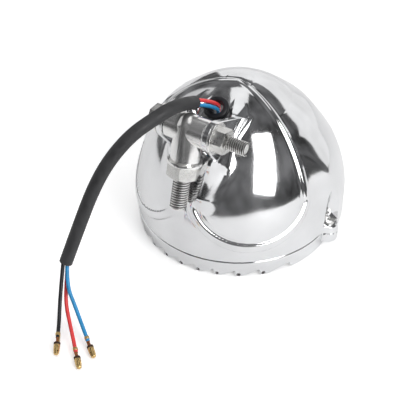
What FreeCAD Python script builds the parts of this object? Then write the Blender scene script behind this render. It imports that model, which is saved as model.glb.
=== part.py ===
import FreeCAD, Part
import math
import os

# Motorcycle headlight, lying lens down on the rim of its bezel, as photographed.
# Sizes below are from the lamp axis, on the table: +Z up towards the rear of the lamp,
# -Y towards the underside that carries the stud, +X towards the nut of the pivot bolt.
# FRAME_SHIFT then moves all nodes so that the origin is the middle of the lamp's footprint.
# All sizes in millimetres.

V = FreeCAD.Vector
X_DIR = V(1, 0, 0)
Y_DIR = V(0, 1, 0)
Z_DIR = V(0, 0, 1)
ORIGIN = V(0, 0, 0)
FRAME_SHIFT = V(0, 1.2, 0)

# Shell
SEAM_Z = 12.0            # joint between bezel and housing
SKIRT_H = 8.0            # straight skirt above the seam
SKIRT_Z = SEAM_Z + SKIRT_H
SKIRT_R = 61.5           # skirt radius
APEX_Z = 99.5            # rear tip of the bullet
WALL = 3.0               # casting wall
PANEL_RISE = 0.9         # rear dome above the skirt
BAND_RISE = 2.0          # frame band above the skirt
PANEL_PHI = 41.0         # direction of a side panel, degrees from the underside
PANEL_SHIFT = -1.5       # panel centre along its own width
PANEL_HALF_W = 32.8
PANEL_DEPTH = 23.8       # lower half ellipse of the panel
PANEL_Z = 50.0           # height where the panel is widest
PANEL_EDGE_PHI = 72.0    # meridian that closes the panel towards the brow
BAND_W = 3.8             # frame band width at the sides
BAND_LOW_W = 6.0         # frame band width at the bottom
BAND_EDGE_PHI = 76.0
CROWN_R = 8.0            # plain round at the apex where both panels run together

# Brow cowl
COWL_OUT = [(5.5, 20.0), (5.2, 32.0), (2.4, 45.0), (-3.0, 58.0), (-11.1, 70.0), (-20.8, 81.0), (-30.9, 88.0)]
COWL = [(SKIRT_R + out, z) for out, z in COWL_OUT]
BROW_SLOPE = 2.3         # sideways run of the sloped leaf face per millimetre of height
BROW_OUT = [(5.0, 7.0, 12.0), (5.0, 7.0, 30.0), (2.0, 4.5, 44.0), (-2.0, 1.5, 56.0), (-11.0, -4.0, 72.0),
            (-20.5, -6.5, 84.0), (-33.5, -7.0, 93.5), (-45.5, -7.0, 99.0)]
BROW = [(SKIRT_R + out, y, z) for out, y, z in BROW_OUT]

# Screw bosses at the two sides
BOSS_X = SKIRT_R + 1.5
BOSS_Y = 4.5
BOSS_TOP_R = 3.2
BOSS_H = 34.0
BOSS_LEAN = 7.0          # the boss leans into the shell by this much over its height
SCREW_SEAT_H = 3.0       # screw seat above the seam
SCREW_SEAT_Z = SEAM_Z + SCREW_SEAT_H
SCREW_R = 2.0
SCREW_HOLE_R = SCREW_R + 0.2
SCREW_HEAD_R = 3.3
SCREW_HEAD_H = 3.6
SCREW_DEPTH = 6.0        # screw below the seam
SCREW_END_Z = SEAM_Z - SCREW_DEPTH
BEZEL_BOSS_Z = SCREW_END_Z - 1.2
COUNTERBORE_R = SCREW_HEAD_R + 0.3
BOSS_R = COUNTERBORE_R + 2.2
SCOOP_TILT = 10.0        # tool clearance above the head, leaning outward
SOCKET_AF = 3.0
SOCKET_DEPTH = 2.0

# Pivot and swivel stud
PIVOT_IN = 8.0           # pivot axis inside the skirt radius
PIVOT_DROP = 3.5         # pivot axis below the apex
PIVOT_Y = PIVOT_IN - SKIRT_R
PIVOT_Z = APEX_Z - PIVOT_DROP
STUD_LEAN = 15.0         # stud against the lamp axis, degrees
EAR_IN = 13.0            # half of the space between the two ears
EAR_T = 3.5
EAR_R = 9.0
EAR_TOP = (PIVOT_Y + 32.5, PIVOT_Z - 5.0)    # roots of the ear edges, inside the shell
EAR_LOW = (PIVOT_Y + 10.5, PIVOT_Z - 28.0)
EAR_BACK = (PIVOT_Y + 23.5, PIVOT_Z - 36.0)
BOLT_R = 4.0
EAR_HOLE_R = BOLT_R + 0.2
BORE_CLEARANCE = 0.05
SIDE_CLEARANCE = 0.2
BARREL_R = 8.2
POST_R = 8.6
POST_DOME_R = 9.0        # round top of the post, about the pivot
POST_LEN = 18.5          # post below the pivot axis
STUD_R = 5.0
STUD_END = 49.0          # stud tip below the pivot axis
THREAD_DEPTH = 0.75      # the stud is at the root of its thread where the nut's thread fills it
THREAD_RUNOUT = 0.5      # free thread starts this far from the nut
STUD_WASHER_R = 10.0
STUD_WASHER_T = 2.0
STUD_NUT_AF = 17.0
STUD_NUT_H = 8.0
PIVOT_WASHER_R = 9.2
PIVOT_WASHER_T = 1.6
PIVOT_AF = 13.0
PIVOT_NUT_H = 6.5
PIVOT_HEAD_H = 5.3
BOLT_STICKOUT = 11.2     # thread past the nut
FIT = 0.01               # nuts and washers on their threads

# Bezel and optics
RIM_TAPER = 1.5          # rim inside the skirt radius
RIM_W = 5.0              # flat of the rim
BEZEL_WALL = 5.0         # wall of the recess for gasket, lens and reflector
LEDGE_W = 4.0            # ledge that carries the gasket
RIM_R = SKIRT_R - RIM_TAPER
RIM_INNER_R = RIM_R - RIM_W
SEAT_R = SKIRT_R - BEZEL_WALL
LENS_OPENING_R = SEAT_R - LEDGE_W
SEAT_Z = 5.0
TOOTH_PITCH = 11.67
TOOTH_FIRST_X = -50.8    # left corner of the first tooth
TOOTH_COUNT = 9
TOOTH_H = 2.6
TOOTH_FLAT = 3.0         # part of each tooth that stands on the table
TOOTH_Y = -14.0          # teeth are cut on the underside only
GASKET_T = 1.5
LENS_R = SEAT_R - 0.3
LENS_T = 3.2
LENS_SAG = 4.4
LENS_DOME_R = LENS_OPENING_R - 1.5
REFLECTOR_FOCUS = 16.0
REFLECTOR_MOUTH_R = LENS_OPENING_R - 1.5
REFLECTOR_HOLE_R = 17.0
COLLAR_W = 4.0
COLLAR_H = 4.0
REFLECTOR_WALL = 1.2
FLANGE_T = 1.3
RING_T = 1.4
RING_W = 3.5
RING_INNER_R = SEAT_R - RING_W
BULB_R = 8.0
BULB_TIP_Z = 24.0
BULB_FLANGE_R = REFLECTOR_HOLE_R + 2.0
BULB_FLANGE_T = 1.5
BULB_BASE_R = 11.0
BULB_BASE_H = 6.0
CONNECTOR_R = 13.5
CONNECTOR_H = 12.0
CLIP_WIRE_R = 0.8
CLIP_R = 16.0
BOOT_T = 1.6
BOOT_RIM_R = REFLECTOR_HOLE_R + COLLAR_W + 3.0

# Grommet and cord
GROMMET_Y = -24.9
GROMMET_HOLE_R = 5.6     # hole in the housing
GROMMET_FLANGE_R = GROMMET_HOLE_R + 1.8
GROMMET_FLANGE_T = 2.6
GROMMET_BORE_R = GROMMET_HOLE_R - 1.6
LEAD_R = 1.1
SLEEVE_R = 3.8
SLEEVE = [(-3.4, -42.8, 105.8), (-4.6, -58.4, 112.8), (-9.0, -73.2, 110.6), (-15.2, -85.6, 105.5),
          (-21.9, -96.9, 93.8), (-26.8, -106.0, 78.9), (-32.0, -115.2, 55.8), (-36.8, -123.5, 33.3)]
TERMINAL_R = 1.9


def cylinder(base, axis, radius, height):
    return Part.makeCylinder(radius, height, base, axis)


def ring(base, axis, outer, inner, height):
    return cylinder(base, axis, outer, height).cut(cylinder(base, axis, inner, height))


def spin(points):
    """Solid of revolution about Z of a closed polygon given as (radius, height)."""
    wire = Part.makePolygon([V(r, 0, z) for r, z in points + points[:1]])
    return Part.Face(wire).revolve(ORIGIN, Z_DIR, 360)


def prism(points, direction):
    """Solid swept along a direction from a closed polygon of vectors."""
    wire = Part.makePolygon(points + points[:1])
    return Part.Face(wire).extrude(direction)


def mirrored(shape):
    return shape.mirror(ORIGIN, X_DIR)


def bullet(rise):
    """Bullet-shaped solid of the shell, lifted by rise at the skirt and fading to the apex."""
    radius = SKIRT_R + rise
    apex = APEX_Z + 0.05 * rise
    ellipse = Part.Ellipse(V(0, 0, apex), V(radius, 0, SKIRT_Z), V(0, 0, SKIRT_Z))
    arc = Part.ArcOfEllipse(ellipse, 0, math.pi / 2).toShape()
    skirt = Part.makeLine(V(radius, 0, SKIRT_Z), V(radius, 0, SEAM_Z))
    floor = Part.makeLine(V(radius, 0, SEAM_Z), V(0, 0, SEAM_Z))
    axis = Part.makeLine(V(0, 0, SEAM_Z), V(0, 0, apex))
    face = Part.Face(Part.Wire([arc, skirt, floor, axis]))
    return face.revolve(ORIGIN, Z_DIR, 360)


def panel_prism(grow_side, grow_low, edge_phi):
    """Right-hand panel outline pushed outward through the shell."""
    phi = math.radians(PANEL_PHI)
    out = V(math.sin(phi), -math.cos(phi), 0)
    along = V(math.cos(phi), math.sin(phi), 0)
    half = PANEL_HALF_W + grow_side
    deep = PANEL_DEPTH + grow_low

    def at(t, z):
        return along * t + V(0, 0, z)

    centre = at(PANEL_SHIFT, PANEL_Z)
    ellipse = Part.Ellipse(centre + along * half, centre - Z_DIR * deep, centre)
    low = Part.ArcOfEllipse(ellipse, 0, math.pi).toShape()
    right = at(PANEL_SHIFT + half, PANEL_Z)
    left = at(PANEL_SHIFT - half, PANEL_Z)
    top = V(0, 0, APEX_Z + 20 - PANEL_Z)
    sides = Part.makePolygon([left, left + top, right + top, right])
    face = Part.Face(Part.Wire([low] + sides.Edges))
    solid = face.extrude(out * 90)
    edge = math.radians(edge_phi)
    beyond = V(math.cos(edge), math.sin(edge), 0)
    rim = V(math.sin(edge), -math.cos(edge), 0) * 120
    cutter = prism([ORIGIN - rim, rim, rim + beyond * 120, beyond * 120 - rim], V(0, 0, 200))
    return solid.cut(cutter)


def brow_tool():
    """Everything on the brow side of the right-hand sloped leaf face."""
    points = []
    for x, y, z in BROW:
        points.append(V(-90, y - BROW_SLOPE * (x + 90), z))
    curve = Part.BSplineCurve()
    curve.interpolate(points)
    low = V(points[0].x, points[0].y, SEAM_Z - 5)
    high = V(points[-1].x, points[-1].y + 60, 130)
    back_high = V(-90, 400, 130)
    back_low = V(-90, 400, SEAM_Z - 5)
    rest = Part.makePolygon([points[-1], high, back_high, back_low, low, points[0]])
    face = Part.Face(Part.Wire([curve.toShape()] + rest.Edges))
    return face.extrude(V(190, 190 * BROW_SLOPE, 0))


def cowl():
    curve = Part.BSplineCurve()
    curve.interpolate([V(r, 0, z) for r, z in COWL])
    top_r, top_z = COWL[-1]
    low_r, low_z = COWL[0]
    rest = Part.makePolygon([V(top_r, 0, top_z), V(0, 0, top_z), V(0, 0, SEAM_Z), V(low_r, 0, SEAM_Z),
                             V(low_r, 0, low_z)])
    face = Part.Face(Part.Wire([curve.toShape()] + rest.Edges))
    solid = face.revolve(ORIGIN, Z_DIR, 360)
    tool = brow_tool()
    edge = math.radians(BAND_EDGE_PHI)
    far = V(150 * math.sin(edge), -150 * math.cos(edge), 0)
    wedge = prism([ORIGIN, far, V(far.x, -200, 0), V(-far.x, -200, 0), V(-far.x, far.y, 0)], V(0, 0, 150))
    return solid.common(tool).common(mirrored(tool)).cut(wedge)


def boss():
    axis = V(-BOSS_LEAN, 0, BOSS_H)
    return Part.makeCone(BOSS_R, BOSS_TOP_R, BOSS_H, V(BOSS_X, BOSS_Y, SEAM_Z), axis).fuse(
        cylinder(V(BOSS_X, BOSS_Y, SEAM_Z), Z_DIR, BOSS_R, SCREW_SEAT_Z + SCREW_HEAD_H - SEAM_Z))


def tangent_point(point, side):
    """Point where a line from point touches the ear circle; side picks one of the two."""
    dy = point[0] - PIVOT_Y
    dz = point[1] - PIVOT_Z
    angle = math.atan2(dz, dy) + side * math.acos(EAR_R / math.hypot(dy, dz))
    return (PIVOT_Y + EAR_R * math.cos(angle), PIVOT_Z + EAR_R * math.sin(angle))


def ear():
    outline = [tangent_point(EAR_TOP, 1), EAR_TOP, EAR_BACK, EAR_LOW, tangent_point(EAR_LOW, -1)]
    plate = prism([V(EAR_IN, y, z) for y, z in outline], X_DIR * EAR_T)
    return plate.fuse(cylinder(V(EAR_IN, PIVOT_Y, PIVOT_Z), X_DIR, EAR_R, EAR_T))


def hex_prism(base, axis, across_flats, height, turn=0.0):
    """Hexagonal prism with chamfered corners, standing on base along axis."""
    radius = across_flats / math.sqrt(3)
    corners = []
    for k in range(6):
        angle = math.radians(60 * k + turn)
        corners.append(V(radius * math.cos(angle), radius * math.sin(angle), 0))
    solid = prism(corners, V(0, 0, height))
    trim = (radius - across_flats / 2) * 0.9
    lathe = spin([(0, 0), (radius - trim, 0), (radius + 0.1, trim * 0.6 + 0.06),
                  (radius + 0.1, height - trim * 0.6 - 0.06), (radius - trim, height), (0, height)])
    solid = solid.common(lathe)
    solid.Placement = FreeCAD.Placement(base, FreeCAD.Rotation(Z_DIR, axis))
    return solid


def cord(points, radius, name):
    """Plain tube along straight runs joined by tangent arcs."""
    pts = [V(*p) for p in points]
    edges = []
    start = pts[0]
    length = 0.0
    tightest = 1e9
    for before, corner, after in zip(pts, pts[1:], pts[2:]):
        u = (corner - before).normalize()
        w = (after - corner).normalize()
        half_turn = u.getAngle(w) / 2
        reach = 0.45 * min((corner - before).Length, (after - corner).Length)
        bend = reach / math.tan(half_turn)
        tightest = min(tightest, bend)
        a = corner - u * reach
        b = corner + w * reach
        middle = (w - u).normalize()
        crown = corner + middle * (bend / math.cos(half_turn) - bend)
        edges.append(Part.LineSegment(start, a).toShape())
        edges.append(Part.Arc(a, crown, b).toShape())
        start = b
    edges.append(Part.LineSegment(start, pts[-1]).toShape())
    path = Part.Wire(edges)
    length = path.Length
    first = (pts[1] - pts[0]).normalize()
    profile = Part.Wire([Part.Circle(pts[0], first, radius).toShape()])
    tube = path.makePipeShell([profile], True, False)
    print("%s: length %.1f mm, tightest radius %.1f mm, volume %.1f of %.1f mm3"
          % (name, length, tightest, tube.Volume, math.pi * radius ** 2 * length))
    return tube


# Housing: cast shell with frame bands, brow cowl, screw bosses and the two ears of the mount
shell = bullet(0.0)
panel = panel_prism(0.0, 0.0, PANEL_EDGE_PHI)
frame = panel_prism(BAND_W, BAND_LOW_W, BAND_EDGE_PHI)
crown = cylinder(V(0, 0, SKIRT_Z), Z_DIR, CROWN_R, APEX_Z)
both_panels = panel.fuse([mirrored(panel), crown])
both_frames = frame.fuse([mirrored(frame), crown])
dome = bullet(PANEL_RISE).common(both_frames)
band = bullet(BAND_RISE).common(both_frames.cut(both_panels))
housing = shell.fuse([dome, band, cowl()])
right_boss = boss()
right_ear = ear()
housing = housing.fuse([right_boss, mirrored(right_boss), right_ear, mirrored(right_ear)])

cavity_r = SKIRT_R - WALL
cavity_top = APEX_Z - WALL
cavity_ellipse = Part.Ellipse(V(0, 0, cavity_top), V(cavity_r, 0, SKIRT_Z), V(0, 0, SKIRT_Z))
cavity_arc = Part.ArcOfEllipse(cavity_ellipse, 0, math.pi / 2).toShape()
cavity_rest = Part.makePolygon([V(cavity_r, 0, SKIRT_Z), V(cavity_r, 0, SEAM_Z - 1), V(0, 0, SEAM_Z - 1),
                                V(0, 0, cavity_top)])
cavity = Part.Face(Part.Wire([cavity_arc] + cavity_rest.Edges)).revolve(ORIGIN, Z_DIR, 360)
below_seam = cylinder(V(0, 0, SEAM_Z - 10), Z_DIR, 2 * SKIRT_R, 10)
housing = housing.cut([cavity, below_seam])

for side in (1, -1):
    foot = V(side * BOSS_X, BOSS_Y, SEAM_Z)
    housing = housing.cut(cylinder(foot, Z_DIR, SCREW_HOLE_R, SCREW_SEAT_Z - SEAM_Z))
    seat = V(foot.x, foot.y, SCREW_SEAT_Z)
    scoop = V(side * math.sin(math.radians(SCOOP_TILT)), 0, math.cos(math.radians(SCOOP_TILT)))
    housing = housing.cut(cylinder(seat, Z_DIR, COUNTERBORE_R, SCREW_HEAD_H))
    housing = housing.cut(cylinder(seat + Z_DIR * 2.0, scoop, COUNTERBORE_R, 60))
ear_out = EAR_IN + EAR_T
housing = housing.cut(cylinder(V(-ear_out, PIVOT_Y, PIVOT_Z), X_DIR, EAR_HOLE_R, 2 * ear_out))

# Seat of the grommet: a flat face square to the dome on the middle plane
grommet_z = SKIRT_Z + (APEX_Z - SKIRT_Z) * math.sqrt(1 - (GROMMET_Y / SKIRT_R) ** 2)
slope_y = GROMMET_Y / SKIRT_R ** 2
slope_z = (grommet_z - SKIRT_Z) / (APEX_Z - SKIRT_Z) ** 2
GROMMET_AXIS = V(0, slope_y, slope_z).normalize()
grommet_seat = V(0, GROMMET_Y, grommet_z) + GROMMET_AXIS * 0.2
housing = housing.cut(cylinder(grommet_seat, GROMMET_AXIS, GROMMET_FLANGE_R + 0.6, 6))
housing = housing.cut(cylinder(grommet_seat - GROMMET_AXIS * 12, GROMMET_AXIS, GROMMET_HOLE_R, 14))

# Bezel: ring with saw-like teeth along its lower edge and an ear for each screw
bezel = spin([(LENS_OPENING_R, SEAT_Z), (LENS_OPENING_R, 2.5), (RIM_INNER_R, 0), (RIM_R - 0.6, 0),
              (RIM_R, 0.6), (SKIRT_R - 0.2, SEAM_Z / 2), (SKIRT_R + 0.4, SEAM_Z - 2.0), (SKIRT_R + 0.3, SEAM_Z),
              (SEAT_R, SEAM_Z), (SEAT_R, SEAT_Z)])
for side in (1, -1):
    bezel = bezel.fuse(
        cylinder(V(side * BOSS_X, BOSS_Y, BEZEL_BOSS_Z), Z_DIR, BOSS_R, SEAM_Z - BEZEL_BOSS_Z))
bezel = bezel.cut(cylinder(V(0, 0, SEAT_Z), Z_DIR, SEAT_R, SEAM_Z))
for side in (1, -1):
    bezel = bezel.cut(cylinder(V(side * BOSS_X, BOSS_Y, SCREW_END_Z), Z_DIR, SCREW_R, SEAM_Z))
for k in range(TOOTH_COUNT):
    x0 = TOOTH_FIRST_X + k * TOOTH_PITCH
    x1 = x0 + TOOTH_PITCH
    wedge = [V(x0 + TOOTH_FLAT, -80, 0), V(x1, -80, TOOTH_H), V(x1, -80, -1), V(x0 + TOOTH_FLAT, -80, -1)]
    bezel = bezel.cut(prism(wedge, V(0, 80 + TOOTH_Y, 0)))

# Screws of the bezel: socket heads down in the bosses
screws = []
for side in (1, -1):
    seat = V(side * BOSS_X, BOSS_Y, SCREW_SEAT_Z)
    head = cylinder(seat, Z_DIR, SCREW_HEAD_R, SCREW_HEAD_H)
    shank = cylinder(V(seat.x, seat.y, SCREW_END_Z), Z_DIR, SCREW_R - FIT, SCREW_SEAT_Z - SCREW_END_Z)
    socket = hex_prism(seat + Z_DIR * (SCREW_HEAD_H - SOCKET_DEPTH), Z_DIR, SOCKET_AF, SOCKET_DEPTH + 1)
    screws.append(head.fuse(shank).removeSplitter().cut(socket))
bezel_screws = Part.makeCompound(screws)

# Lens stack in the bezel, from the front: gasket, lens, reflector flange, retaining ring
lens_z = SEAT_Z + GASKET_T
lens_gasket = ring(V(0, 0, SEAT_Z), Z_DIR, SEAT_R, LENS_OPENING_R, GASKET_T)
dome_r = (LENS_DOME_R ** 2 + LENS_SAG ** 2) / (2 * LENS_SAG)
lens_ball = Part.makeSphere(dome_r, V(0, 0, lens_z - LENS_SAG + dome_r))
lens_hollow = Part.makeSphere(dome_r, V(0, 0, lens_z - LENS_SAG + dome_r + LENS_T))
lens_disc = cylinder(V(0, 0, lens_z), Z_DIR, LENS_R, LENS_T)
lens_front = lens_ball.common(cylinder(V(0, 0, lens_z - LENS_SAG - 1), Z_DIR, LENS_DOME_R, LENS_SAG + 1))
lens = lens_disc.fuse(lens_front).cut(
    lens_hollow.common(cylinder(V(0, 0, 0), Z_DIR, LENS_DOME_R - 1.5, lens_z + LENS_T)))
lens = lens.removeSplitter()

flange_z = lens_z + LENS_T
mouth_z = flange_z + FLANGE_T
vertex_z = flange_z + REFLECTOR_MOUTH_R ** 2 / (4 * REFLECTOR_FOCUS)
bowl_in = []
bowl_out = []
for k in range(13):
    r = REFLECTOR_HOLE_R + (REFLECTOR_MOUTH_R - REFLECTOR_HOLE_R) * k / 12
    slope = r / (2 * REFLECTOR_FOCUS)
    z = vertex_z - r ** 2 / (4 * REFLECTOR_FOCUS)
    bowl_in.append(V(r, 0, z))
    bowl_out.append(V(r, 0, z + REFLECTOR_WALL * math.sqrt(1 + slope ** 2)))
inner_curve = Part.BSplineCurve()
inner_curve.interpolate(bowl_in)
outer_curve = Part.BSplineCurve()
outer_curve.interpolate(bowl_out)
bowl_ends = [Part.makeLine(bowl_in[0], bowl_out[0]), Part.makeLine(bowl_in[-1], bowl_out[-1])]
bowl = Part.Face(Part.Wire(Part.__sortEdges__([inner_curve.toShape(), outer_curve.toShape()] + bowl_ends)))
bowl = bowl.revolve(ORIGIN, Z_DIR, 360)
collar_z = bowl_in[0].z
collar_top = collar_z + COLLAR_H
collar = ring(V(0, 0, collar_z), Z_DIR, REFLECTOR_HOLE_R + COLLAR_W, REFLECTOR_HOLE_R, COLLAR_H)
flange = ring(V(0, 0, flange_z), Z_DIR, LENS_R, REFLECTOR_MOUTH_R, FLANGE_T)
reflector = bowl.fuse([collar, flange]).removeSplitter()

retaining_ring = ring(V(0, 0, mouth_z), Z_DIR, SEAT_R, RING_INNER_R, RING_T)

# Bulb, held on the collar of the reflector by a wire clip, with its connector and rubber boot
bulb_stem = cylinder(V(0, 0, BULB_TIP_Z + BULB_R), Z_DIR, BULB_R, collar_top - BULB_TIP_Z - BULB_R)
bulb_nose = Part.makeSphere(BULB_R, V(0, 0, BULB_TIP_Z + BULB_R))
bulb = bulb_stem.fuse(bulb_nose).removeSplitter()
bulb_base = cylinder(V(0, 0, collar_top), Z_DIR, BULB_FLANGE_R, BULB_FLANGE_T).fuse(
    cylinder(V(0, 0, collar_top + BULB_FLANGE_T), Z_DIR, BULB_BASE_R, BULB_BASE_H)).removeSplitter()
clip_z = collar_top + BULB_FLANGE_T + CLIP_WIRE_R
bulb_clip = ring(V(0, 0, clip_z - CLIP_WIRE_R), Z_DIR, CLIP_R + CLIP_WIRE_R, CLIP_R - CLIP_WIRE_R,
                 2 * CLIP_WIRE_R)
connector_z = collar_top + BULB_FLANGE_T + BULB_BASE_H
bulb_connector = cylinder(V(0, 0, connector_z), Z_DIR, CONNECTOR_R, CONNECTOR_H)
connector_top = connector_z + CONNECTOR_H
dust_boot = spin([(REFLECTOR_HOLE_R + COLLAR_W, collar_z + 2.0), (BOOT_RIM_R, collar_z + 2.0),
                  (BOOT_RIM_R, collar_top + 2.0), (CONNECTOR_R + BOOT_T, connector_z + 3.0),
                  (CONNECTOR_R + BOOT_T, connector_z + 8.0), (CONNECTOR_R, connector_z + 8.0),
                  (CONNECTOR_R, connector_z + 3.0), (REFLECTOR_HOLE_R + COLLAR_W, collar_top + 2.0)])

# Grommet: rubber bush whose outer flange lies on the flat seat
neck = V(grommet_seat) - GROMMET_AXIS * (WALL + 0.6)
grommet = cylinder(grommet_seat, GROMMET_AXIS, GROMMET_FLANGE_R, GROMMET_FLANGE_T).fuse(
    cylinder(neck, GROMMET_AXIS, GROMMET_HOLE_R, WALL + 0.6)).removeSplitter()
grommet = grommet.cut(cylinder(neck, GROMMET_AXIS, GROMMET_BORE_R, WALL + 0.6 + GROMMET_FLANGE_T))

# Swivel stud: post with a cross barrel on the pivot bolt and a threaded lower end
lean = math.radians(STUD_LEAN)
DOWN = V(0, -math.sin(lean), -math.cos(lean))
pivot = V(0, PIVOT_Y, PIVOT_Z)
barrel_half = EAR_IN - SIDE_CLEARANCE
barrel = cylinder(V(-barrel_half, PIVOT_Y, PIVOT_Z), X_DIR, BARREL_R, 2 * barrel_half)
washer_at = pivot + DOWN * POST_LEN
nut_at = washer_at + DOWN * STUD_WASHER_T
free_at = nut_at + DOWN * (STUD_NUT_H + THREAD_RUNOUT)
root_r = STUD_R - THREAD_DEPTH
post = cylinder(pivot, DOWN, POST_R, POST_LEN)
post_top = Part.makeSphere(POST_DOME_R, pivot).common(
    cylinder(pivot - DOWN * (POST_DOME_R + 1.0), DOWN, POST_R, POST_DOME_R + 1.0))
root = cylinder(washer_at, DOWN, root_r, STUD_WASHER_T + STUD_NUT_H + THREAD_RUNOUT)
thread_len = STUD_END - POST_LEN - STUD_WASHER_T - STUD_NUT_H - THREAD_RUNOUT
thread = cylinder(free_at, DOWN, STUD_R, thread_len - 1.0)
tip = Part.makeCone(STUD_R, STUD_R - 1.0, 1.0, free_at + DOWN * (thread_len - 1.0), DOWN)
swivel_stud = barrel.fuse([post, post_top, root, thread, tip])
swivel_stud = swivel_stud.cut(
    cylinder(V(-barrel_half, PIVOT_Y, PIVOT_Z), X_DIR, BOLT_R + BORE_CLEARANCE, 2 * barrel_half))
swivel_stud = swivel_stud.removeSplitter()
stud_washer = ring(washer_at, DOWN, STUD_WASHER_R, STUD_R + FIT, STUD_WASHER_T)
stud_nut = hex_prism(nut_at, DOWN, STUD_NUT_AF, STUD_NUT_H, 12.0).cut(
    cylinder(nut_at, DOWN, root_r + FIT, STUD_NUT_H))

# Pivot bolt through both ears, head on the far side, nut towards +X
head_x = -(ear_out + PIVOT_WASHER_T)
nut_x = ear_out + PIVOT_WASHER_T
bolt_end = nut_x + PIVOT_NUT_H + BOLT_STICKOUT
pivot_bolt = cylinder(V(head_x, PIVOT_Y, PIVOT_Z), X_DIR, BOLT_R, bolt_end - head_x - 1.0).fuse(
    [Part.makeCone(BOLT_R, BOLT_R - 1.0, 1.0, V(bolt_end - 1.0, PIVOT_Y, PIVOT_Z), X_DIR),
     hex_prism(V(head_x, PIVOT_Y, PIVOT_Z), -X_DIR, PIVOT_AF, PIVOT_HEAD_H)]).removeSplitter()
pivot_nut = hex_prism(V(nut_x, PIVOT_Y, PIVOT_Z), X_DIR, PIVOT_AF, PIVOT_NUT_H, 20.0).cut(
    cylinder(V(nut_x, PIVOT_Y, PIVOT_Z), X_DIR, BOLT_R + FIT, PIVOT_NUT_H))
pivot_washers = Part.makeCompound([
    ring(V(ear_out, PIVOT_Y, PIVOT_Z), X_DIR, PIVOT_WASHER_R, EAR_HOLE_R, PIVOT_WASHER_T),
    ring(V(head_x, PIVOT_Y, PIVOT_Z), X_DIR, PIVOT_WASHER_R, EAR_HOLE_R, PIVOT_WASHER_T)])

# Cord: three leads out of the grommet, one sleeve over them, three wires with terminals
GROMMET_UP = V(0, GROMMET_AXIS.z, -GROMMET_AXIS.y)
grommet_out = grommet_seat + GROMMET_AXIS * (GROMMET_FLANGE_T + 2.0)
sleeve_start = V(*SLEEVE[0])
sleeve_first = (V(*SLEEVE[1]) - sleeve_start).normalize()
sleeve_side = sleeve_first.cross(Z_DIR).normalize()
sleeve_up = sleeve_side.cross(sleeve_first).normalize()
sleeve_end = V(*SLEEVE[-1])
sleeve_last = (sleeve_end - V(*SLEEVE[-2])).normalize()
end_side = sleeve_last.cross(X_DIR).normalize()
end_left = sleeve_last.cross(end_side).normalize()
cable_sleeve = cord(SLEEVE, SLEEVE_R, "cable_sleeve")

LEADS = {"red": (0.0, 2.7, 1.5, 0.0), "blue": (1.0, 0.0, -0.8, -1.4), "black": (-0.9, -2.5, -0.8, 1.4)}
leads = {}
for name, (shift, rise, at_up, at_side) in LEADS.items():
    first = V(shift, rise * 1.25 - 8.0, connector_top)
    second = grommet_seat - GROMMET_AXIS * 11.0 + GROMMET_UP * rise + X_DIR * shift
    third = grommet_out + GROMMET_UP * rise + X_DIR * shift
    last = sleeve_start + sleeve_up * at_up + sleeve_side * at_side
    leads[name] = cord([tuple(first), tuple(second), tuple(third), tuple(last)], LEAD_R, "lead_" + name)

WIRES = {
    "black": ((1.3, 0.9), [(-34.8, -131.5, 24.0), (-32.0, -137.6, 14.5), (-28.6, -143.4, 7.5)],
              (-18.6, -159.3)),
    "red": ((0.1, -1.6), [(-33.6, -128.6, 23.6), (-29.4, -135.6, 14.0), (-20.0, -143.5, 5.5)],
            (-2.0, -160.2)),
    "blue": ((-1.5, 0.7), [(-31.2, -131.0, 24.4), (-24.8, -133.4, 14.4), (-16.8, -138.0, 7.0)],
             (-0.1, -149.7)),
}
wires = {}
terminals = {}
for name, ((at_left, at_side), middle, tip_xy) in WIRES.items():
    first = sleeve_end + end_left * at_left + end_side * at_side
    last_bend = V(*middle[-1])
    tip_point = V(tip_xy[0], tip_xy[1], TERMINAL_R)
    run = tip_point - last_bend
    crimp = last_bend + run.normalize() * max((tip_point - last_bend).Length - 12.5, 3.0)
    wires[name] = cord([tuple(first)] + middle + [tuple(crimp)], LEAD_R, "wire_" + name)
    heading = (tip_point - crimp).normalize()
    long = (tip_point - crimp).Length
    barrel_part = cylinder(crimp, heading, 1.5, long * 0.42)
    neck_part = cylinder(crimp + heading * (long * 0.42), heading, 0.9, long * 0.1)
    collar_part = cylinder(crimp + heading * (long * 0.52), heading, TERMINAL_R, long * 0.06)
    bullet_part = cylinder(crimp + heading * (long * 0.58), heading, 1.7, long * 0.36)
    nose_part = Part.makeCone(1.7, 1.2, long * 0.06, crimp + heading * (long * 0.94), heading)
    terminals[name] = barrel_part.fuse([neck_part, collar_part, bullet_part, nose_part]).removeSplitter()

NODES = {
    "housing": housing.removeSplitter(),
    "bezel": bezel.removeSplitter(),
    "bezel_screws": bezel_screws,
    "lens": lens,
    "lens_gasket": lens_gasket,
    "reflector": reflector,
    "retaining_ring": retaining_ring,
    "bulb": bulb,
    "bulb_base": bulb_base,
    "bulb_clip": bulb_clip,
    "bulb_connector": bulb_connector,
    "dust_boot": dust_boot,
    "grommet": grommet,
    "swivel_stud": swivel_stud,
    "stud_washer": stud_washer,
    "stud_nut": stud_nut,
    "pivot_bolt": pivot_bolt,
    "pivot_nut": pivot_nut,
    "pivot_washers": pivot_washers,
    "cable_sleeve": cable_sleeve,
}
for name in ("red", "blue", "black"):
    NODES["lead_" + name] = leads[name]
    NODES["wire_" + name] = wires[name]
    NODES["terminal_" + name] = terminals[name]

os.makedirs("parts", exist_ok=True)
for node, shape in NODES.items():
    shape = shape.copy()
    shape.translate(FRAME_SHIFT)
    print("%s: %d solid(s), valid %s, %.2f cm3" % (node, len(shape.Solids), shape.isValid(), shape.Volume / 1000.0))
    shape.exportStep("parts/" + node + ".step")
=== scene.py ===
import math

import bmesh
import bpy
import numpy as np
from mathutils import Matrix, Vector


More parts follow.
